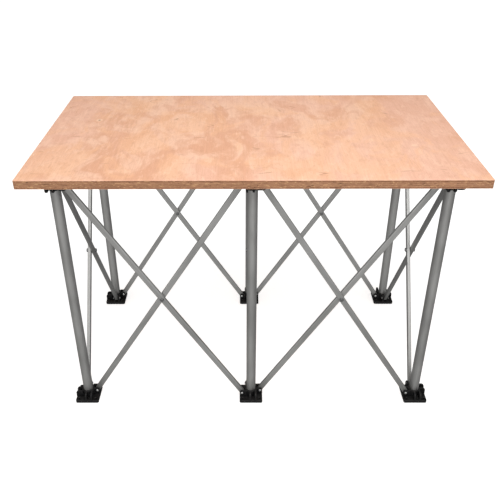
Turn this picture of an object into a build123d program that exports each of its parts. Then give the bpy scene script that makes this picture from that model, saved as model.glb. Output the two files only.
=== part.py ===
from build123d import *
import math
import os

# Folding stage riser: a plywood deck resting on a collapsible aluminium frame.
# Millimetres, +Z up, +X along the deck's long side, the front is -Y.
# The origin is on the floor under the middle of the deck.
#
# The frame has six upright leg tubes, three columns in two rows. Each leg hangs from a
# moulded top hub and stands in the cup of a moulded foot hub. Seven pairs of crossed bars
# join neighbouring columns. Every hub has four clevises set like a pinwheel, so each bar
# stays in one upright plane, and the two bars of a pair pass side by side.

# Deck board
DECK_LENGTH = 900.0
DECK_DEPTH = 500.0
DECK_THICKNESS = 18.0
DECK_CORNER_RADIUS = 1.5
DECK_ARRIS = 0.6
TOTAL_HEIGHT = 600.0

# Frame grid
COLUMN_PITCH = 390.0
DECK_UNDERSIDE = TOTAL_HEIGHT - DECK_THICKNESS
COLUMNS = {"left": -COLUMN_PITCH, "middle": 0.0, "right": COLUMN_PITCH}
ROWS = {"front": -COLUMN_PITCH / 2, "back": COLUMN_PITCH / 2}

# Hub moulding, measured from its flat face
HUB_SIZE = 54.0
HUB_HEIGHT = 24.0
HUB_CORNER_RADIUS = 3.5
HUB_EDGE_BREAK = 0.8
PLATE_THICKNESS = 7.0
CUP_RADIUS = 14.5
CUP_FLOOR = 5.0
CUP_CLEARANCE = 0.3
EAR_THICKNESS = 4.2
EAR_NOSE_RADIUS = 7.0
EAR_EDGE_RADIUS = 0.7
EAR_ROOT = 4.0
EAR_SINK = 1.0
BAR_SIDE_GAP = 0.3
SCREW_SPREAD = 20.0
SCREW_BOSS_RADIUS = 4.6
SCREW_BOSS_RISE = 1.2
SCREW_HOLE_DIAMETER = 4.4
SCREW_SINK_DIAMETER = 8.0

# Clevis rivets: distance from the column's axis and height above the hub's flat face
RIVET_REACH = 21.5
RIVET_HEIGHT = 17.5
RIVET_DIAMETER = 4.0
RIVET_HEAD_DIAMETER = 6.8
RIVET_HEAD_HEIGHT = 2.0
RIVET_RIM = 0.5
RIVET_SHOULDER_REACH = 0.72
RIVET_SHOULDER_HEIGHT = 0.78
RIVET_DIMPLE_DIAMETER = 1.8
RIVET_DIMPLE_DEPTH = 1.0

# Foot pad
PAD_SIZE = 50.0
PAD_THICKNESS = 2.0
PAD_CORNER_RADIUS = 4.0
PAD_GROOVE_WIDTH = 1.6
PAD_GROOVE_DEPTH = 0.6
PAD_GROOVE_COUNT = 5
PAD_HOLE_DIAMETER = 6.0

# Leg tube
TUBE_DIAMETER = 22.0
TUBE_WALL = 1.5

# Scissor bars, rectangular tube with rounded ends
BAR_WIDTH = 12.0
BAR_THICKNESS = 8.0
BAR_WALL = 1.2
BAR_CORNER_RADIUS = 1.6
BAR_INNER_RADIUS = 0.5
BAR_OFFSET = 4.5
RUNNING_FIT = 0.05

# Pivot where the two bars of a pair cross
PIVOT_DIAMETER = 5.0
PIVOT_HEAD_ACROSS = 8.0
PIVOT_HEAD_HEIGHT = 3.4
PIVOT_NUT_HEIGHT = 3.6
PIVOT_CHAMFER = 0.5
PIVOT_TIP = 0.6
PIVOT_GAP = 0.1
WASHER_DIAMETER = 12.0

# How far a cutting tool runs past the face it cuts
CUT_PAST = 1.0

# Worked out from the sizes above
FOOT_HUB_BASE = PAD_THICKNESS
LOW_RIVET_Z = FOOT_HUB_BASE + RIVET_HEIGHT
HIGH_RIVET_Z = DECK_UNDERSIDE - RIVET_HEIGHT
BAR_RISE = HIGH_RIVET_Z - LOW_RIVET_Z
BAR_RUN = COLUMN_PITCH - 2 * RIVET_REACH
BAR_LENGTH = math.hypot(BAR_RISE, BAR_RUN)
BAR_LEAN = math.degrees(math.atan2(BAR_RUN, BAR_RISE))
MIDDLE_Z = (LOW_RIVET_Z + HIGH_RIVET_Z) / 2
SLOT_HALF = BAR_THICKNESS / 2 + BAR_SIDE_GAP
CLEVIS_HALF = SLOT_HALF + EAR_THICKNESS
TUBE_BOTTOM = FOOT_HUB_BASE + CUP_FLOOR
TUBE_TOP = DECK_UNDERSIDE - CUP_FLOOR

# Clevis directions, as turns in degrees from +X
TURNS = {"right": 0, "back": 90, "left": 180, "front": 270}

UPRIGHT = Plane.XZ


def save(shape, name):
    """Write one sub-part under its own name."""
    shape.label = name
    export_step(shape, f"parts/{name}.step")


def at(shape, x, y, z):
    return Pos(x, y, z) * shape


# ---------------------------------------------------------------- hub moulding

def clevis_ear(side):
    """One upright ear of the clevis that opens to +X; side is -1 or +1 across the slot."""
    half = HUB_SIZE / 2
    root = CUP_RADIUS - EAR_ROOT
    foot = PLATE_THICKNESS - EAR_SINK
    outline = Polyline(
        (root, foot),
        (half, foot),
        (half, HUB_HEIGHT),
        (root, HUB_HEIGHT),
        close=True,
    )
    face = make_face(outline)
    nose = face.vertices().group_by(Axis.X)[-1].sort_by(Axis.Y)[-1]
    face = fillet(nose, EAR_NOSE_RADIUS)
    ear = extrude(UPRIGHT * face, EAR_THICKNESS / 2, both=True)
    rim = [e for e in ear.edges() if e.center().Z > PLATE_THICKNESS + EAR_SINK
           and e.center().X > CUP_RADIUS]
    ear = fillet(rim, EAR_EDGE_RADIUS)
    middle = BAR_OFFSET + side * (SLOT_HALF + EAR_THICKNESS / 2)
    return Pos(0, middle, 0) * ear


def screw_spots():
    """The four corner places where a hub can be screwed down."""
    return [Pos(sx * SCREW_SPREAD, sy * SCREW_SPREAD, 0) for sx in (-1, 1) for sy in (-1, 1)]


def rivet_bore():
    """Hole through both ears of the clevis that opens to +X."""
    length = 2 * (CLEVIS_HALF + CUT_PAST)
    bore = Cylinder(RIVET_DIAMETER / 2, length, rotation=(90, 0, 0))
    return Pos(RIVET_REACH, BAR_OFFSET, RIVET_HEIGHT) * bore


def hub(cup_diameter):
    """Moulded hub, flat face at z=0, with a cup for the leg and four clevises."""
    plate = extrude(RectangleRounded(HUB_SIZE, HUB_SIZE, HUB_CORNER_RADIUS), PLATE_THICKNESS)
    plate = chamfer(plate.faces().sort_by(Axis.Z)[-1].edges(), HUB_EDGE_BREAK)
    cup = Cylinder(CUP_RADIUS, HUB_HEIGHT, align=(Align.CENTER, Align.CENTER, Align.MIN))
    cup = fillet(cup.edges().sort_by(Axis.Z)[-1], HUB_EDGE_BREAK)
    body = plate + cup
    for turn in TURNS.values():
        for side in (-1, 1):
            body += Rot(0, 0, turn) * clevis_ear(side)
    boss_height = PLATE_THICKNESS + SCREW_BOSS_RISE
    boss = Cylinder(SCREW_BOSS_RADIUS, boss_height, align=(Align.CENTER, Align.CENTER, Align.MIN))
    sink = Pos(0, 0, boss_height) * CounterSinkHole(
        SCREW_HOLE_DIAMETER / 2, SCREW_SINK_DIAMETER / 2, boss_height
    )
    for spot in screw_spots():
        body += spot * boss
    for spot in screw_spots():
        body -= spot * sink
    for turn in TURNS.values():
        body -= Rot(0, 0, turn) * rivet_bore()
    bore = Cylinder(
        cup_diameter / 2, HUB_HEIGHT, align=(Align.CENTER, Align.CENTER, Align.MIN)
    )
    return body - Pos(0, 0, CUP_FLOOR) * bore


def flipped(shape):
    """Turn a foot hub's piece over about X, as the top hub uses it."""
    return Rot(180, 0, 0) * shape


# ---------------------------------------------------------------- fasteners

def rivet_head():
    """Domed head on z=0, growing to +Z, with the dimple of a pulled rivet."""
    radius = RIVET_HEAD_DIAMETER / 2
    rim = (radius, RIVET_RIM)
    shoulder = (radius * RIVET_SHOULDER_REACH, RIVET_HEAD_HEIGHT * RIVET_SHOULDER_HEIGHT)
    crown = (0, RIVET_HEAD_HEIGHT)
    dome = ThreePointArc(rim, shoulder, crown)
    edge = Polyline(crown, (0, 0), (radius, 0), rim)
    profile = make_face(dome + edge)
    head = revolve(Plane.XZ * profile, Axis.Z)
    dimple = Cylinder(RIVET_DIMPLE_DIAMETER / 2, 2 * RIVET_DIMPLE_DEPTH)
    return head - Pos(0, 0, RIVET_HEAD_HEIGHT) * dimple


def clevis_rivet():
    """Rivet across the clevis that opens to +X, in the hub's own frame."""
    shank = Cylinder(RIVET_DIAMETER / 2, 2 * CLEVIS_HALF, rotation=(90, 0, 0))
    far = Pos(0, CLEVIS_HALF, 0) * (Rot(-90, 0, 0) * rivet_head())
    near = Pos(0, -CLEVIS_HALF, 0) * (Rot(90, 0, 0) * rivet_head())
    return Pos(RIVET_REACH, BAR_OFFSET, RIVET_HEIGHT) * (shank + far + near)


def hub_rivets(column, row):
    """The rivets of one foot hub: one in each clevis that holds a bar."""
    used = [row_facing(row)]
    if column != "right":
        used.append("right")
    if column != "left":
        used.append("left")
    return [Rot(0, 0, TURNS[way]) * clevis_rivet() for way in used]


def row_facing(row):
    """The clevis that faces the other row."""
    return "back" if row == "front" else "front"


def pivot_set():
    """Bolt, washer and nut where two bars cross, along +Y, head on the bar at -BAR_OFFSET."""
    outer = BAR_OFFSET + BAR_THICKNESS / 2
    inner = BAR_OFFSET - BAR_THICKNESS / 2
    nut_seat = outer + PIVOT_GAP
    head = extrude(
        Plane.XZ.offset(outer) * RegularPolygon(PIVOT_HEAD_ACROSS / 2, 6, major_radius=False),
        PIVOT_HEAD_HEIGHT,
    )
    head = chamfer(head.faces().sort_by(Axis.Y)[0].edges(), PIVOT_CHAMFER)
    length = outer + nut_seat + PIVOT_NUT_HEIGHT + PIVOT_TIP
    shank = extrude(Plane.XZ.offset(outer) * Circle(PIVOT_DIAMETER / 2), -length)
    bolt = head + shank
    nut = extrude(
        Plane.XZ.offset(-nut_seat) * RegularPolygon(PIVOT_HEAD_ACROSS / 2, 6, major_radius=False),
        -PIVOT_NUT_HEIGHT,
    )
    nut = chamfer(nut.faces().sort_by(Axis.Y)[-1].edges(), PIVOT_CHAMFER)
    nut -= extrude(Plane.XZ.offset(-nut_seat) * Circle(PIVOT_DIAMETER / 2), -PIVOT_NUT_HEIGHT)
    washer = extrude(
        Plane.XZ.offset(inner) * Circle(WASHER_DIAMETER / 2), -(2 * inner - PIVOT_GAP)
    )
    washer -= extrude(Plane.XZ.offset(inner) * Circle(PIVOT_DIAMETER / 2), -2 * inner)
    return [bolt, nut, washer]


# ---------------------------------------------------------------- tubes and bars

def leg_tube():
    length = TUBE_TOP - TUBE_BOTTOM
    outer = Circle(TUBE_DIAMETER / 2)
    inner = Circle(TUBE_DIAMETER / 2 - TUBE_WALL)
    return extrude(outer - inner, length)


def scissor_bar():
    """Bar along +Z about its middle, in the XZ plane, with its two rivet holes and pivot hole."""
    full = BAR_LENGTH + BAR_WIDTH
    section = RectangleRounded(BAR_WIDTH, BAR_THICKNESS, BAR_CORNER_RADIUS)
    hollow = RectangleRounded(
        BAR_WIDTH - 2 * BAR_WALL, BAR_THICKNESS - 2 * BAR_WALL, BAR_INNER_RADIUS
    )
    tube = extrude(section - hollow, full / 2, both=True)
    side_view = SlotOverall(full, BAR_WIDTH, rotation=90)
    bar = tube & extrude(UPRIGHT * side_view, BAR_THICKNESS, both=True)
    rivet_radius = RIVET_DIAMETER / 2 + RUNNING_FIT
    pivot_radius = PIVOT_DIAMETER / 2 + RUNNING_FIT
    for z, radius in ((-BAR_LENGTH / 2, rivet_radius), (BAR_LENGTH / 2, rivet_radius),
                      (0, pivot_radius)):
        bar -= Pos(0, 0, z) * Cylinder(radius, 2 * BAR_THICKNESS, rotation=(90, 0, 0))
    return bar


def lengthwise_bar(bar, lean):
    """Bar of a front or back pair; lean is +1 with its top end to the right, -1 to the left."""
    return Pos(0, lean * BAR_OFFSET, 0) * (Rot(0, lean * BAR_LEAN, 0) * bar)


def crosswise_bar(bar, lean):
    """Bar of a pair between the rows; lean is +1 with its top end to the back, -1 to the front."""
    turned = Rot(0, 0, 90) * (Rot(0, lean * BAR_LEAN, 0) * bar)
    return Pos(-lean * BAR_OFFSET, 0, 0) * turned


# ---------------------------------------------------------------- soft and flat parts

def foot_pad():
    """Thin rubber pad with shallow grooves in its underside and holes for floor screws."""
    pad = extrude(RectangleRounded(PAD_SIZE, PAD_SIZE, PAD_CORNER_RADIUS), PAD_THICKNESS)
    spacing = PAD_SIZE / (PAD_GROOVE_COUNT + 1)
    for index in range(PAD_GROOVE_COUNT):
        x = (index + 1) * spacing - PAD_SIZE / 2
        groove = Box(PAD_GROOVE_WIDTH, PAD_SIZE + 2 * CUT_PAST, 2 * PAD_GROOVE_DEPTH)
        pad -= Pos(x, 0, 0) * groove
    for spot in screw_spots():
        pad -= spot * Cylinder(PAD_HOLE_DIAMETER / 2, 2 * (PAD_THICKNESS + CUT_PAST))
    return pad


def deck_board():
    board = extrude(
        RectangleRounded(DECK_LENGTH, DECK_DEPTH, DECK_CORNER_RADIUS), DECK_THICKNESS
    )
    rims = board.faces().filter_by(Axis.Z).edges()
    return chamfer(rims, DECK_ARRIS)


# ---------------------------------------------------------------- assembly

def make_columns():
    foot = hub(TUBE_DIAMETER + 2 * CUP_CLEARANCE)
    top = flipped(hub(TUBE_DIAMETER))
    tube = leg_tube()
    pad = foot_pad()
    for row, y in ROWS.items():
        for column, x in COLUMNS.items():
            place = f"{row}_{column}"
            rivets = hub_rivets(column, row)
            top_rivets = hub_rivets(column, row_facing(row))
            save(at(pad, x, y, 0), f"foot_pad_{place}")
            save(at(foot, x, y, FOOT_HUB_BASE), f"foot_hub_{place}")
            save(Compound([at(r, x, y, FOOT_HUB_BASE) for r in rivets]), f"foot_rivets_{place}")
            save(at(tube, x, y, TUBE_BOTTOM), f"leg_tube_{place}")
            save(at(top, x, y, DECK_UNDERSIDE), f"top_hub_{place}")
            save(
                Compound([at(flipped(r), x, y, DECK_UNDERSIDE) for r in top_rivets]),
                f"top_rivets_{place}",
            )


def make_lengthwise_pairs(bar):
    half = COLUMN_PITCH / 2
    for row, y in ROWS.items():
        for side, x in (("left", -half), ("right", half)):
            for way, lean in (("left", -1), ("right", 1)):
                placed = at(lengthwise_bar(bar, lean), x, y, MIDDLE_Z)
                save(placed, f"bar_{row}_{side}_leaning_{way}")
            turn = 0 if side == "left" else 180
            pieces = [Rot(0, 0, turn) * piece for piece in pivot_set()]
            pieces = [at(piece, x, y, MIDDLE_Z) for piece in pieces]
            save(Compound(pieces), f"pivot_set_{row}_{side}")


def make_crosswise_pairs(bar):
    for column, x in COLUMNS.items():
        for way, lean in (("back", 1), ("front", -1)):
            placed = at(crosswise_bar(bar, lean), x, 0, MIDDLE_Z)
            save(placed, f"bar_cross_{column}_leaning_{way}")
        pieces = [Rot(0, 0, -90) * piece for piece in pivot_set()]
        pieces = [at(piece, x, 0, MIDDLE_Z) for piece in pieces]
        save(Compound(pieces), f"pivot_set_cross_{column}")


def main():
    os.makedirs("parts", exist_ok=True)
    save(at(deck_board(), 0, 0, DECK_UNDERSIDE), "deck_board")
    make_columns()
    bar = scissor_bar()
    make_lengthwise_pairs(bar)
    make_crosswise_pairs(bar)
    print("bar", round(BAR_LENGTH, 2), "mm between rivets, lean", round(BAR_LEAN, 3), "degrees")


main()
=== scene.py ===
"""Looks of the folding stage riser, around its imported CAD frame. Metres, +Z up, front is -Y."""

import math
import random

import bmesh
import bpy
from mathutils import Matrix, Vector, noise


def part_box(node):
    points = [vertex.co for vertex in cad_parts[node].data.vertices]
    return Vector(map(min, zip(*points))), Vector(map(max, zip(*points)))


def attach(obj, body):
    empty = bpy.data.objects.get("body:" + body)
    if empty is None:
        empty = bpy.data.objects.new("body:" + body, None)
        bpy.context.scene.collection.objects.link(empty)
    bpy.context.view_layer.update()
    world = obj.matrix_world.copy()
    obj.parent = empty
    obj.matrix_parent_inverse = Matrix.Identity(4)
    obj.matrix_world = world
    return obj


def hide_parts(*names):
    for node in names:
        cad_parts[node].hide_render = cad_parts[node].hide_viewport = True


MM = 0.001

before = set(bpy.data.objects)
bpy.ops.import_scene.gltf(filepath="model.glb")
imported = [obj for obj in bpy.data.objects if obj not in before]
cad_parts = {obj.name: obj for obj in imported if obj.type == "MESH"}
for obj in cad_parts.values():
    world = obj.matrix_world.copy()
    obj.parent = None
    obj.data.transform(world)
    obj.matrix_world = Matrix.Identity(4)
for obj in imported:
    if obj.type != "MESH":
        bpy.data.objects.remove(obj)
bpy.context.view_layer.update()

# ---------------------------------------------------------------- sizes and places

COLUMNS = ("left", "middle", "right")
ROWS = ("front", "back")
BAR_WIDTH = 12 * MM

# Deck board: face veneers outside, core plies between, with a thin glue line at each joint
# and an open gap here and there in a core ply
PLY_COUNT = 11
FACE_VENEER = 1.0 * MM
GLUE_LINE = 0.14 * MM
GLUE_INSET = 0.22 * MM
CORNER_RADIUS = 1.5 * MM
CORNER_STEPS = 2
SHARP_DEGREES = 25
ARRIS = 0.6 * MM
ARRIS_BEND = 0.3
GRID_STEP = 7.5 * MM
VOID_DEPTH = 1.1 * MM
VOID_CHANCE = 0.012
LONG_VOID_CHANCE = 0.5
VOID_SEED = 27

# How far each ply's sawn edge wanders: a slow wave and a fine one, in noise cells per metre,
# with each ply in a layer of the noise of its own
PLY_UNEVENNESS = 0.16 * MM
WAVE_CELLS, WAVE_SHARE, WAVE_LAYER = 23, 0.35, 5.3
FINE_CELLS, FINE_SHARE, FINE_LAYER = 140, 0.25, 9.7

# Hollows of the sanded faces, longer along the board than across it, in noise cells per metre
FACE_RIPPLE = 0.10 * MM
RIPPLE_CELLS = (5, 14)
RIPPLE_LAYER = 3.7

# Metal: the grain runs upright unless it is turned, scratches lie at a slant to the grain, and
# grime reaches this far in height from both ends of a tube or bar
UPRIGHT = (0.0, 0.0, 0.0)
SCRATCH_SLANT = (0.5, 0.9, 0.3)
GRIME_REACH = 70 * MM

# Room brightness, by direction: dim at the far side, middling low in front, bright behind the camera
BRIGHT_SIDE = (-0.05, -0.80, 0.60)
ROOM_DIM = 0.16
ROOM_MIDDLE = 0.33
ROOM_BRIGHT = 0.65
ROOM_TINT = (1.0, 0.997, 0.985)

# Backdrop that the camera sees in place of the room, and the floor, which glows to look as white
WHITE = (1.0, 1.0, 1.0)
BACKDROP_STRENGTH = 1.05
FLOOR_GLOW = 0.72
FLOOR_HALF = 9.0
FLOOR_STEPS = 24

# Soft lamps: name, place, point aimed at, width and height, watts
STAGE_MIDDLE = (0.0, 0.0, 0.35)
LAMPS = (
    ("overhead_softbox", (0.08, -0.55, 1.85), (0.06, -0.2, 0.6), (1.1, 0.9), 14.3),
    ("front_softbox", (0.5, -3.0, 2.2), STAGE_MIDDLE, (2.4, 1.6), 12.0),
    ("left_softbox", (-3.0, -0.6, 1.6), STAGE_MIDDLE, (1.6, 2.0), 4.0),
    ("right_softbox", (3.0, -0.6, 1.6), STAGE_MIDDLE, (1.6, 2.0), 4.0),
)

# Camera, as the photographer stood; angles in degrees, lens in millimetres
CAMERA_PLACE = (-0.0213, -1.3093, 1.1078)
CAMERA_YAW = -0.337
CAMERA_PITCH = 30.327
CAMERA_ROLL = -0.256
CAMERA_LENS = 45.278
CAMERA_SHIFT = (0.0228, -0.0352)


# ---------------------------------------------------------------- building a material

class Nodes:
    """Adds nodes to a tree. An input given as an output of another node is linked to it."""

    def __init__(self, tree):
        self.tree = tree
        self.coordinates = self.add("ShaderNodeTexCoord")

    def feed(self, socket, value):
        if isinstance(value, bpy.types.NodeSocket):
            self.tree.links.new(value, socket)
        elif isinstance(value, tuple) and len(value) == 3 and socket.type == "RGBA":
            socket.default_value = (*value, 1.0)
        else:
            socket.default_value = value

    def add(self, kind, settings=(), **inputs):
        """A new node. Inputs are named as its sockets are, with _ for a space."""
        node = self.tree.nodes.new(kind)
        for key, value in dict(settings).items():
            setattr(node, key, value)
        for key, value in inputs.items():
            self.feed(node.inputs[key.replace("_", " ")], value)
        return node

    def math(self, operation, a, b=0.0):
        node = self.tree.nodes.new("ShaderNodeMath")
        node.operation = operation
        self.feed(node.inputs[0], a)
        self.feed(node.inputs[1], b)
        return node.outputs[0]

    def between(self, value, low, high, to_low=0.0, to_high=1.0):
        """Value mapped from low..high to to_low..to_high, smooth at both ends."""
        node = self.add("ShaderNodeMapRange", {"interpolation_type": "SMOOTHSTEP"},
                        Value=value, From_Min=low, From_Max=high,
                        To_Min=to_low, To_Max=to_high)
        return node.outputs[0]


class Finish(Nodes):
    """One procedural material. Sizes are in metres, in the object's own frame at rest."""

    def __init__(self, name):
        self.material = bpy.data.materials.new(name)
        self.material.use_nodes = True
        super().__init__(self.material.node_tree)
        self.shader = self.tree.nodes["Principled BSDF"]
        self.place = self.coordinates.outputs["Object"]

    def stretched(self, size, turn=UPRIGHT):
        """Place measured in cells of the given size, after turning the grain upright."""
        node = self.add("ShaderNodeMapping", {"vector_type": "TEXTURE"},
                        Vector=self.place, Rotation=turn, Scale=size)
        return node.outputs[0]

    def noise(self, size, detail=2.0, roughness=0.5, distortion=0.0, turn=UPRIGHT):
        node = self.add("ShaderNodeTexNoise", Vector=self.stretched(size, turn), Scale=1.0,
                        Detail=detail, Roughness=roughness, Distortion=distortion)
        return node.outputs[0]

    def cells(self, size):
        """Distance to the nearest of scattered points, about one point per cell."""
        node = self.add("ShaderNodeTexVoronoi", Vector=self.stretched(size), Scale=1.0)
        return node.outputs["Distance"]

    def mix(self, share, first, second):
        """Colour that goes from the first to the second as share goes from 0 to 1."""
        node = self.tree.nodes.new("ShaderNodeMix")
        node.data_type = "RGBA"
        # The node has sockets for every kind of data: these are the ones that mix colours
        self.feed(node.inputs[0], share)
        self.feed(node.inputs[6], first)
        self.feed(node.inputs[7], second)
        return node.outputs[2]

    def tinted(self, colour, texture, start, full, share, tint):
        """Colour with a tint laid over it, from none at start to the given share at full."""
        return self.mix(self.between(texture, start, full, 0.0, share), colour, tint)

    def facing_up(self):
        """1 where the surface faces up, 0 where it is upright or faces down."""
        split = self.add("ShaderNodeSeparateXYZ", Vector=self.coordinates.outputs["Normal"])
        return self.between(split.outputs["Z"], 0.2, 0.9)

    def height(self):
        split = self.add("ShaderNodeSeparateXYZ", Vector=self.place)
        return split.outputs["Z"]

    def bump(self, *layers):
        """Each layer is (height texture, depth in metres)."""
        normal = None
        for texture, depth in layers:
            node = self.add("ShaderNodeBump", Height=texture, Distance=depth, Strength=1.0)
            if normal is not None:
                self.feed(node.inputs["Normal"], normal)
            normal = node.outputs[0]
        self.feed(self.shader.inputs["Normal"], normal)

    def surface(self, **inputs):
        for key, value in inputs.items():
            self.feed(self.shader.inputs[key.replace("_", " ")], value)
        return self.material


# ---------------------------------------------------------------- plywood

def veneer_finish(name, worn=0.0):
    """Rotary-cut face veneer: mottled figure, fine fibres and pores, short checks, pin knots."""
    m = Finish(name)
    patches = m.noise((0.075, 0.125, 1.0), detail=4.0, roughness=0.52, distortion=1.3)
    islands = m.noise((0.030, 0.055, 1.0), detail=2.0, roughness=0.45, distortion=1.1)
    family = m.noise((0.24, 0.30, 1.0), detail=2.0, distortion=0.8)
    warmth = m.noise((0.085, 0.14, 1.7), detail=3.0, roughness=0.55, distortion=1.2)
    flecks = m.noise((0.011, 0.026, 1.0), detail=2.0, roughness=0.5, distortion=1.1)
    strokes = m.noise((0.008, 0.085, 1.0), detail=2.0, distortion=0.5)
    fibres = m.noise((0.0013, 0.060, 1.0), detail=4.0, roughness=0.65, distortion=0.15)
    pores = m.noise((0.0004, 0.0050, 1.0), detail=2.0)
    outline = m.noise((0.150, 0.045, 1.0), detail=2.0, roughness=0.4, distortion=0.3)
    broken = m.noise((0.055, 0.055, 3.1), detail=1.0)
    knots = m.cells((0.15, 0.16, 1.0))

    colour = m.mix(m.between(patches, 0.40, 0.60), (0.72, 0.385, 0.245), (0.86, 0.535, 0.380))
    colour = m.tinted(colour, islands, 0.50, 0.62, 0.55, (0.72, 0.390, 0.255))
    colour = m.tinted(colour, family, 0.40, 0.60, 0.55, (0.84, 0.510, 0.390))
    colour = m.tinted(colour, warmth, 0.46, 0.62, 0.50, (0.86, 0.490, 0.290))
    colour = m.tinted(colour, flecks, 0.56, 0.72, 0.30, (0.95, 0.660, 0.490))
    colour = m.tinted(colour, flecks, 0.42, 0.30, 0.22, (0.56, 0.280, 0.175))
    colour = m.tinted(colour, strokes, 0.50, 0.66, 0.10, (0.60, 0.320, 0.200))
    colour = m.tinted(colour, fibres, 0.45, 0.70, 0.20, (0.56, 0.285, 0.175))
    colour = m.tinted(colour, fibres, 0.46, 0.30, 0.18, (0.97, 0.680, 0.520))
    colour = m.tinted(colour, pores, 0.58, 0.68, 0.30, (0.38, 0.175, 0.100))
    line = m.between(m.math("ABSOLUTE", m.math("SUBTRACT", outline, 0.5)), 0.010, 0.003)
    checks = m.math("MULTIPLY", line, m.between(broken, 0.58, 0.66))
    colour = m.mix(m.math("MULTIPLY", checks, 0.55), colour, (0.42, 0.200, 0.120))
    colour = m.tinted(colour, knots, 0.075, 0.030, 0.45, (0.95, 0.700, 0.520))
    colour = m.tinted(colour, knots, 0.026, 0.012, 0.80, (0.25, 0.110, 0.060))
    if worn:
        scuffs = m.noise((0.05, 0.05, 1.0), detail=6.0, roughness=0.7)
        colour = m.tinted(colour, scuffs, 0.52, 0.72, worn, (0.40, 0.260, 0.180))
    gloss = m.between(patches, 0.25, 0.75, 0.62, 0.50)
    m.bump((fibres, 0.00007), (pores, -0.00010), (checks, -0.0001))
    return m.surface(Base_Color=colour, Roughness=gloss, Specular_IOR_Level=0.3)


def long_grain_finish(name, dark, pale):
    """Edge of a ply whose fibres run along the edge."""
    m = Finish(name)
    fibres = m.noise((0.030, 0.030, 0.00022), detail=4.0, roughness=0.65)
    patches = m.noise((0.11, 0.11, 0.0030), detail=2.0)
    stains = m.noise((0.012, 0.012, 0.0022), detail=3.0, roughness=0.7)
    chips = m.noise((0.007, 0.007, 0.0028), detail=2.0, roughness=0.6)
    colour = m.mix(m.between(patches, 0.30, 0.70), dark, pale)
    colour = m.tinted(colour, fibres, 0.40, 0.75, 0.35, (0.22, 0.100, 0.050))
    colour = m.tinted(colour, chips, 0.55, 0.65, 0.60, (0.62, 0.350, 0.175))
    colour = m.tinted(colour, stains, 0.56, 0.66, 0.75, (0.11, 0.050, 0.028))
    m.bump((fibres, 0.00015))
    return m.surface(Base_Color=colour, Roughness=0.72, Specular_IOR_Level=0.25)


def end_grain_finish():
    """Edge of a ply whose fibres are cut across: open pores, dark and pale chips."""
    m = Finish("ply_end_grain")
    pores = m.cells((0.0011, 0.0011, 0.0007))
    patches = m.noise((0.045, 0.045, 0.0050), detail=3.0, roughness=0.6)
    specks = m.noise((0.0070, 0.0070, 0.0030), detail=3.0, roughness=0.65)
    colour = m.mix(m.between(patches, 0.30, 0.70), (0.25, 0.118, 0.062), (0.37, 0.185, 0.100))
    colour = m.tinted(colour, pores, 0.30, 0.05, 0.40, (0.15, 0.065, 0.035))
    colour = m.tinted(colour, specks, 0.58, 0.68, 0.80, (0.075, 0.036, 0.022))
    colour = m.tinted(colour, specks, 0.43, 0.35, 0.65, (0.60, 0.370, 0.185))
    m.bump((pores, 0.0002), (specks, -0.0003))
    return m.surface(Base_Color=colour, Roughness=0.85, Specular_IOR_Level=0.2)


def glue_line_finish():
    m = Finish("ply_glue_line")
    breaks = m.noise((0.008, 0.008, 0.002), detail=2.0)
    colour = m.mix(m.between(breaks, 0.4, 0.6), (0.16, 0.075, 0.040), (0.32, 0.160, 0.088))
    return m.surface(Base_Color=colour, Roughness=0.6, Specular_IOR_Level=0.3)


# ---------------------------------------------------------------- metal, nylon and rubber

def aluminium_finish(name, turn, height_span):
    """Satin aluminium drawn along its length: die lines, handling marks, grime near the hubs."""
    m = Finish(name)
    die_lines = m.noise((0.00055, 0.00055, 0.30), detail=3.0, roughness=0.6, turn=turn)
    fine_lines = m.noise((0.00016, 0.00016, 0.05), detail=2.0, turn=turn)
    blotches = m.noise((0.03, 0.03, 0.09), detail=4.0, roughness=0.6, turn=turn)
    scratch_turn = tuple(grain + slant for grain, slant in zip(turn, SCRATCH_SLANT))
    scratches = m.noise((0.0006, 0.0006, 0.022), detail=1.0, turn=scratch_turn)
    rubs = m.noise((0.006, 0.006, 0.03), detail=3.0, roughness=0.7, turn=turn)
    low, high = height_span
    z = m.height()
    ends = m.math("ADD", m.between(z, low + GRIME_REACH, low),
                  m.between(z, high - GRIME_REACH, high))

    colour = m.mix(m.between(blotches, 0.30, 0.70), (0.540, 0.538, 0.528), (0.640, 0.638, 0.628))
    colour = m.tinted(colour, die_lines, 0.35, 0.70, 0.22, (0.30, 0.30, 0.29))
    colour = m.tinted(colour, scratches, 0.70, 0.76, 0.35, (0.80, 0.80, 0.78))
    grime = m.math("MULTIPLY", ends, m.between(rubs, 0.35, 0.65, 0.15, 0.55))
    colour = m.mix(grime, colour, (0.20, 0.195, 0.185))
    gloss = m.between(m.math("ADD", blotches, m.math("MULTIPLY", rubs, 0.5)), 0.5, 1.0, 0.40, 0.54)
    m.bump((die_lines, 0.000025), (fine_lines, 0.000008), (scratches, -0.00002))
    return m.surface(Base_Color=colour, Metallic=1.0, Roughness=gloss)


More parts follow.
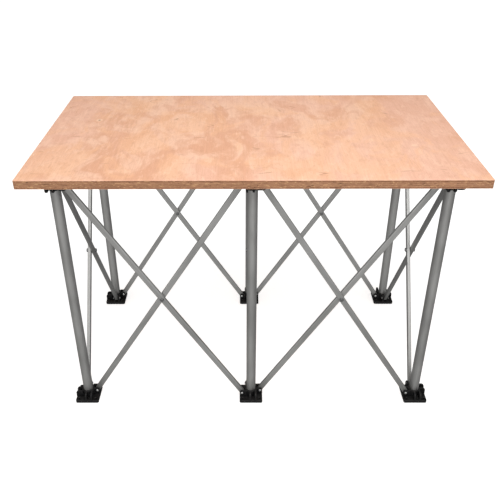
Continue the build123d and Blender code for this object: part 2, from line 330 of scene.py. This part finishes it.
def nylon_finish():
    """Black moulded nylon: spark-eroded texture, shiny rubbed spots, dust on what faces up."""
    m = Finish("hub_nylon")
    spark = m.noise((0.00045, 0.00045, 0.00045), detail=2.0)
    flow = m.noise((0.016, 0.016, 0.006), detail=3.0, roughness=0.6, distortion=0.5)
    scuffs = m.noise((0.0035, 0.0035, 0.0016), detail=4.0, roughness=0.75)
    dust = m.math("MULTIPLY", m.facing_up(), m.between(flow, 0.30, 0.75, 0.15, 0.60))
    colour = m.mix(m.between(flow, 0.30, 0.70), (0.0045, 0.0045, 0.005), (0.009, 0.009, 0.0095))
    colour = m.tinted(colour, scuffs, 0.60, 0.74, 0.5, (0.070, 0.070, 0.070))
    colour = m.mix(m.math("MULTIPLY", dust, 0.07), colour, (0.24, 0.22, 0.20))
    gloss = m.between(m.math("ADD", flow, m.math("MULTIPLY", scuffs, 0.6)), 0.5, 1.1, 0.36, 0.60)
    m.bump((spark, 0.00005), (scuffs, 0.00008))
    return m.surface(Base_Color=colour, Roughness=gloss, Specular_IOR_Level=0.22)


def rubber_finish():
    m = Finish("pad_rubber")
    grit = m.noise((0.0007, 0.0007, 0.0007), detail=3.0)
    dust = m.noise((0.010, 0.010, 0.010), detail=4.0, roughness=0.7)
    colour = m.mix(m.between(dust, 0.35, 0.75), (0.020, 0.020, 0.020), (0.075, 0.070, 0.064))
    m.bump((grit, 0.0001))
    return m.surface(Base_Color=colour, Roughness=m.between(grit, 0.3, 0.7, 0.74, 0.92),
                     Specular_IOR_Level=0.3)


def rivet_finish():
    """Bright drawn aluminium of pulled rivets, with small nicks."""
    m = Finish("rivet_aluminium")
    nicks = m.noise((0.0011, 0.0011, 0.0011), detail=3.0, roughness=0.7)
    haze = m.noise((0.004, 0.004, 0.004), detail=2.0)
    colour = m.mix(m.between(haze, 0.30, 0.70), (0.46, 0.46, 0.455), (0.56, 0.56, 0.55))
    colour = m.tinted(colour, nicks, 0.60, 0.72, 0.7, (0.20, 0.195, 0.19))
    m.bump((nicks, -0.00005))
    return m.surface(Base_Color=colour, Metallic=1.0, Roughness=m.between(haze, 0.3, 0.7, 0.22, 0.36))


def pivot_finish():
    """Dull zinc-plated steel of the pivot bolts, stained in the corners."""
    m = Finish("pivot_zinc")
    crystals = m.cells((0.0014, 0.0014, 0.0014))
    stains = m.noise((0.0032, 0.0032, 0.0032), detail=4.0, roughness=0.7)
    colour = m.mix(m.between(crystals, 0.1, 0.8), (0.20, 0.20, 0.205), (0.30, 0.30, 0.30))
    colour = m.tinted(colour, stains, 0.50, 0.70, 0.6, (0.075, 0.068, 0.060))
    m.bump((crystals, 0.00002), (stains, 0.00004))
    return m.surface(Base_Color=colour, Metallic=1.0, Roughness=m.between(stains, 0.3, 0.7, 0.34, 0.56))


# ---------------------------------------------------------------- deck board

def ply_levels(low, high):
    """Joints between plies, from the underside to the top: thin face veneers, equal core plies."""
    core = (high - low - 2 * FACE_VENEER) / (PLY_COUNT - 2)
    joints = [low, low + FACE_VENEER]
    for index in range(1, PLY_COUNT - 1):
        joints.append(low + FACE_VENEER + index * core)
    joints.append(high)
    return joints


def deck_outline(low, high, xs, ys):
    """Rim of the board, counter-clockwise: (grid key, point, outward direction) for each column."""
    last_x, last_y = len(xs) - 1, len(ys) - 1
    columns = []

    def side(keys, outward):
        for i, j in keys:
            columns.append(((i, j), Vector((xs[i], ys[j])), Vector(outward)))

    def corner(key, centre, first_angle):
        for step in range(CORNER_STEPS + 1):
            angle = math.radians(first_angle + 90 * step / CORNER_STEPS)
            outward = Vector((math.cos(angle), math.sin(angle)))
            columns.append((key, Vector(centre) + CORNER_RADIUS * outward, outward))

    near = (low.x + CORNER_RADIUS, low.y + CORNER_RADIUS)
    far = (high.x - CORNER_RADIUS, high.y - CORNER_RADIUS)
    side([(i, 0) for i in range(1, last_x)], (0, -1))
    corner((last_x, 0), (far[0], near[1]), -90)
    side([(last_x, j) for j in range(1, last_y)], (1, 0))
    corner((last_x, last_y), far, 0)
    side([(i, last_y) for i in range(last_x - 1, 0, -1)], (0, 1))
    corner((0, last_y), (near[0], far[1]), 90)
    side([(0, j) for j in range(last_y - 1, 0, -1)], (-1, 0))
    corner((0, 0), near, 180)
    return columns


def rim_rows(levels):
    """Rows of rim vertices from the underside up: (height, inset, ply number or None for glue)."""
    bend = ARRIS_BEND * ARRIS
    rows = [(levels[0], ARRIS, 0), (levels[0] + bend, bend, 0), (levels[0] + ARRIS, 0.0, 0)]
    for ply in range(PLY_COUNT):
        bottom, top = levels[ply], levels[ply + 1]
        if ply > 0:
            rows.append((bottom + GLUE_LINE / 2, 0.0, ply))
        if ply < PLY_COUNT - 1:
            rows.append((top - GLUE_LINE / 2, 0.0, ply))
            rows.append((top, GLUE_INSET, None))
    top = levels[-1]
    rows += [(top - ARRIS, 0.0, PLY_COUNT - 1), (top - bend, bend, PLY_COUNT - 1),
             (top, ARRIS, PLY_COUNT - 1)]
    return rows


def even_steps(low, high):
    """Places from low to high, evenly spaced, about GRID_STEP apart."""
    count = round((high - low) / GRID_STEP)
    return [low + (high - low) * index / count for index in range(count + 1)]


def ply_wander(ply, x, y):
    """How far a ply's sawn edge stands back from the face of the cut."""
    wave = noise.noise(Vector((x * WAVE_CELLS, y * WAVE_CELLS, ply * WAVE_LAYER)))
    fine = noise.noise(Vector((x * FINE_CELLS, y * FINE_CELLS, ply * FINE_LAYER)))
    return PLY_UNEVENNESS * (0.5 + WAVE_SHARE * wave + FINE_SHARE * fine)


def face_ripple(x, y):
    """Depth of the sanded face below its highest point."""
    spot = Vector((x * RIPPLE_CELLS[0], y * RIPPLE_CELLS[1], RIPPLE_LAYER))
    return FACE_RIPPLE * (0.5 + 0.5 * noise.noise(spot))


def deck_voids(column_count):
    """Open gaps in core plies, as {(ply, column)}, mostly one or two columns long."""
    chance = random.Random(VOID_SEED)
    gaps = set()
    for ply in range(2, PLY_COUNT - 2):
        for column in range(column_count):
            if chance.random() < VOID_CHANCE:
                gaps.add((ply, column))
                if chance.random() < LONG_VOID_CHANCE:
                    gaps.add((ply, column + 1))
    return gaps


def deck_finishes():
    """Finishes of the board by the kind of surface, in the order of its material slots."""
    return {
        "top": veneer_finish("deck_veneer_top"),
        "under": veneer_finish("deck_veneer_under", worn=0.35),
        "long": long_grain_finish("ply_long_grain", (0.30, 0.150, 0.082), (0.41, 0.215, 0.122)),
        "outer": long_grain_finish("ply_outer_grain", (0.20, 0.085, 0.044), (0.29, 0.130, 0.070)),
        "end": end_grain_finish(),
        "glue": glue_line_finish(),
    }


def edge_kind(below, above, outward):
    """Kind of surface between two rows of the rim, where it faces the given direction."""
    _, inset_below, ply = below
    _, inset_above, ply_above = above
    if ply is None or ply_above is None:
        return "glue"
    if inset_below or inset_above:
        return "top" if ply else "under"
    if ply in (1, PLY_COUNT - 2):
        return "outer"
    faces_front = abs(outward.y) > 0.5
    return "long" if (ply % 2 == 1) == faces_front else "end"


def rim_ring(bm, row, columns, gaps, low, high):
    """Vertices of one row of the rim, uneven as sawn and set back where a ply has a gap."""
    height, inset, ply = row
    ring = []
    for column, (_, point, outward) in enumerate(columns):
        depth = inset
        if inset == 0.0:
            depth += ply_wander(ply, point.x, point.y)
            if (ply, column) in gaps:
                depth += VOID_DEPTH
        spot = point - outward * depth
        sink = 0.0
        if height == low.z:
            sink = face_ripple(point.x, point.y)
        elif height == high.z:
            sink = -face_ripple(point.x, point.y)
        ring.append(bm.verts.new((spot.x, spot.y, height + sink)))
    return ring


def skin_rim(bm, rim, rows, columns, slot_of):
    """Faces between the rows of the rim, all the way round."""
    for row in range(len(rows) - 1):
        for column, (_, _, outward) in enumerate(columns):
            after = (column + 1) % len(columns)
            quad = bm.faces.new((rim[row][column], rim[row][after],
                                 rim[row + 1][after], rim[row + 1][column]))
            kind = edge_kind(rows[row], rows[row + 1], outward)
            quad.material_index = slot_of[kind]


def skin_face(bm, ring, columns, xs, ys, height, up, slot):
    """Grid of faces inside the first or the last ring of the rim, facing up or down."""
    spots = {}
    for vertex, (key, _, _) in zip(ring, columns):
        spots.setdefault(key, []).append(vertex)
    for i in range(1, len(xs) - 1):
        for j in range(1, len(ys) - 1):
            sink = face_ripple(xs[i], ys[j])
            z = height - sink if up else height + sink
            spots[(i, j)] = [bm.verts.new((xs[i], ys[j], z))]
    for i in range(len(xs) - 1):
        for j in range(len(ys) - 1):
            around = (spots[(i, j)] + spots[(i + 1, j)]
                      + spots[(i + 1, j + 1)] + spots[(i, j + 1)])
            face = bm.faces.new(around if up else reversed(around))
            face.material_index = slot
            face.smooth = True


def build_deck():
    """Plywood board with every ply modelled in its sawn edge."""
    low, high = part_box("deck_board")
    xs, ys = even_steps(low.x, high.x), even_steps(low.y, high.y)
    columns = deck_outline(low, high, xs, ys)
    rows = rim_rows(ply_levels(low.z, high.z))
    gaps = deck_voids(len(columns))
    finishes = deck_finishes()
    slot_of = {kind: index for index, kind in enumerate(finishes)}

    bm = bmesh.new()
    rim = [rim_ring(bm, row, columns, gaps, low, high) for row in rows]
    skin_rim(bm, rim, rows, columns, slot_of)
    skin_face(bm, rim[0], columns, xs, ys, low.z, False, slot_of["under"])
    skin_face(bm, rim[-1], columns, xs, ys, high.z, True, slot_of["top"])
    mesh = bpy.data.meshes.new("deck_plywood")
    bm.to_mesh(mesh)
    bm.free()
    mesh.set_sharp_from_angle(angle=math.radians(SHARP_DEGREES))
    for material in finishes.values():
        mesh.materials.append(material)

    deck = bpy.data.objects.new("deck_plywood", mesh)
    bpy.context.scene.collection.objects.link(deck)
    # The bars show no brown from the board, so polished parts don't mirror it
    deck.visible_glossy = False
    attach(deck, "deck")
    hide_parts("deck_board")


# ---------------------------------------------------------------- finishes of the CAD nodes

def dress(node, material):
    """Gives a CAD node its finish in every material slot it has."""
    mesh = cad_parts[node].data
    if not mesh.materials:
        mesh.materials.append(material)
    for index in range(len(mesh.materials)):
        mesh.materials[index] = material


def bar_lean():
    """Lean of the scissor bars from upright, read from one bar's box without its round ends."""
    low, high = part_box("bar_front_left_leaning_right")
    return math.atan2(high.x - low.x - BAR_WIDTH, high.z - low.z - BAR_WIDTH)


def dress_columns():
    low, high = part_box("leg_tube_front_middle")
    tube = aluminium_finish("leg_aluminium", UPRIGHT, (low.z, high.z))
    nylon, rubber, rivets = nylon_finish(), rubber_finish(), rivet_finish()
    for row in ROWS:
        for column in COLUMNS:
            place = f"{row}_{column}"
            dress(f"leg_tube_{place}", tube)
            dress(f"foot_pad_{place}", rubber)
            for level in ("foot", "top"):
                dress(f"{level}_hub_{place}", nylon)
                dress(f"{level}_rivets_{place}", rivets)


def dress_bars():
    lean = bar_lean()
    low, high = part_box("bar_front_left_leaning_right")
    turns = {"right": (0.0, lean, 0.0), "left": (0.0, -lean, 0.0),
             "back": (-lean, 0.0, 0.0), "front": (lean, 0.0, 0.0)}
    finishes = {way: aluminium_finish(f"bar_aluminium_{way}", turn, (low.z, high.z))
                for way, turn in turns.items()}
    pivot = pivot_finish()
    for row in ROWS:
        for side in ("left", "right"):
            for way in ("left", "right"):
                dress(f"bar_{row}_{side}_leaning_{way}", finishes[way])
            dress(f"pivot_set_{row}_{side}", pivot)
    for column in COLUMNS:
        for way in ("back", "front"):
            dress(f"bar_cross_{column}_leaning_{way}", finishes[way])
        dress(f"pivot_set_cross_{column}", pivot)


# ---------------------------------------------------------------- stage

def build_floor():
    """Pale seamless floor, lit brightly enough to read as the studio's white sweep."""
    bm = bmesh.new()
    bmesh.ops.create_grid(bm, x_segments=FLOOR_STEPS, y_segments=FLOOR_STEPS, size=FLOOR_HALF)
    mesh = bpy.data.meshes.new("studio_floor")
    bm.to_mesh(mesh)
    bm.free()
    floor = bpy.data.objects.new("studio_floor", mesh)
    bpy.context.scene.collection.objects.link(floor)
    m = Finish("studio_floor")
    tone = m.mix(m.noise((0.8, 0.8, 0.8), detail=2.0), (0.62, 0.62, 0.615), (0.64, 0.64, 0.635))
    m.surface(Base_Color=tone, Roughness=0.9, Specular_IOR_Level=0.0,
              Emission_Color=WHITE, Emission_Strength=FLOOR_GLOW)
    mesh.materials.append(m.material)
    floor.visible_glossy = False


def soft_light(name, place, target, size, power):
    data = bpy.data.lights.new(name, "AREA")
    data.shape = "RECTANGLE"
    data.size, data.size_y = size
    data.energy = power
    lamp = bpy.data.objects.new(name, data)
    lamp.location = place
    lamp.rotation_euler = (Vector(target) - Vector(place)).to_track_quat("-Z", "Y").to_euler()
    bpy.context.scene.collection.objects.link(lamp)


def build_world():
    """Studio room: bright behind and above the photographer, dim at the far side and low down.
    The camera itself sees plain white."""
    world = bpy.data.worlds.new("studio_room")
    world.use_nodes = True
    bpy.context.scene.world = world
    world.node_tree.nodes.clear()
    n = Nodes(world.node_tree)
    toward_lamps = n.add("ShaderNodeVectorMath", {"operation": "DOT_PRODUCT"})
    n.feed(toward_lamps.inputs[0], n.coordinates.outputs["Generated"])
    toward_lamps.inputs[1].default_value = BRIGHT_SIDE
    facing = toward_lamps.outputs["Value"]
    broad = n.between(facing, -1.0, 0.3, ROOM_DIM, ROOM_MIDDLE)
    window = n.between(facing, 0.2, 1.0, 0.0, ROOM_BRIGHT)
    room = n.add("ShaderNodeBackground", Color=ROOM_TINT, Strength=n.math("ADD", broad, window))
    backdrop = n.add("ShaderNodeBackground", Color=WHITE, Strength=BACKDROP_STRENGTH)
    path = n.add("ShaderNodeLightPath")
    choose = n.tree.nodes.new("ShaderNodeMixShader")
    n.feed(choose.inputs[0], path.outputs["Is Camera Ray"])
    n.feed(choose.inputs[1], room.outputs[0])
    n.feed(choose.inputs[2], backdrop.outputs[0])
    n.add("ShaderNodeOutputWorld", Surface=choose.outputs[0])


def build_camera():
    yaw, pitch, roll = (math.radians(a) for a in (CAMERA_YAW, CAMERA_PITCH, CAMERA_ROLL))
    forward = Vector((math.sin(yaw) * math.cos(pitch), math.cos(yaw) * math.cos(pitch),
                      -math.sin(pitch)))
    right = Vector((math.cos(yaw), -math.sin(yaw), 0.0))
    up = right.cross(forward)
    across = math.cos(roll) * right + math.sin(roll) * up
    upward = math.cos(roll) * up - math.sin(roll) * right
    data = bpy.data.cameras.new("photo_camera")
    data.lens = CAMERA_LENS
    data.shift_x, data.shift_y = CAMERA_SHIFT
    camera = bpy.data.objects.new("photo_camera", data)
    turned = Matrix((across, upward, -forward)).transposed().to_4x4()
    camera.matrix_world = Matrix.Translation(CAMERA_PLACE) @ turned
    bpy.context.scene.collection.objects.link(camera)
    bpy.context.scene.camera = camera


def set_colours():
    view = bpy.context.scene.view_settings
    view.view_transform = "Standard"
    view.look = "None"
    view.exposure = 0.0
    view.gamma = 1.0


# ---------------------------------------------------------------- making it all

build_camera()
set_colours()
build_world()
for lamp in LAMPS:
    soft_light(*lamp)
build_floor()
dress_columns()
dress_bars()
build_deck()
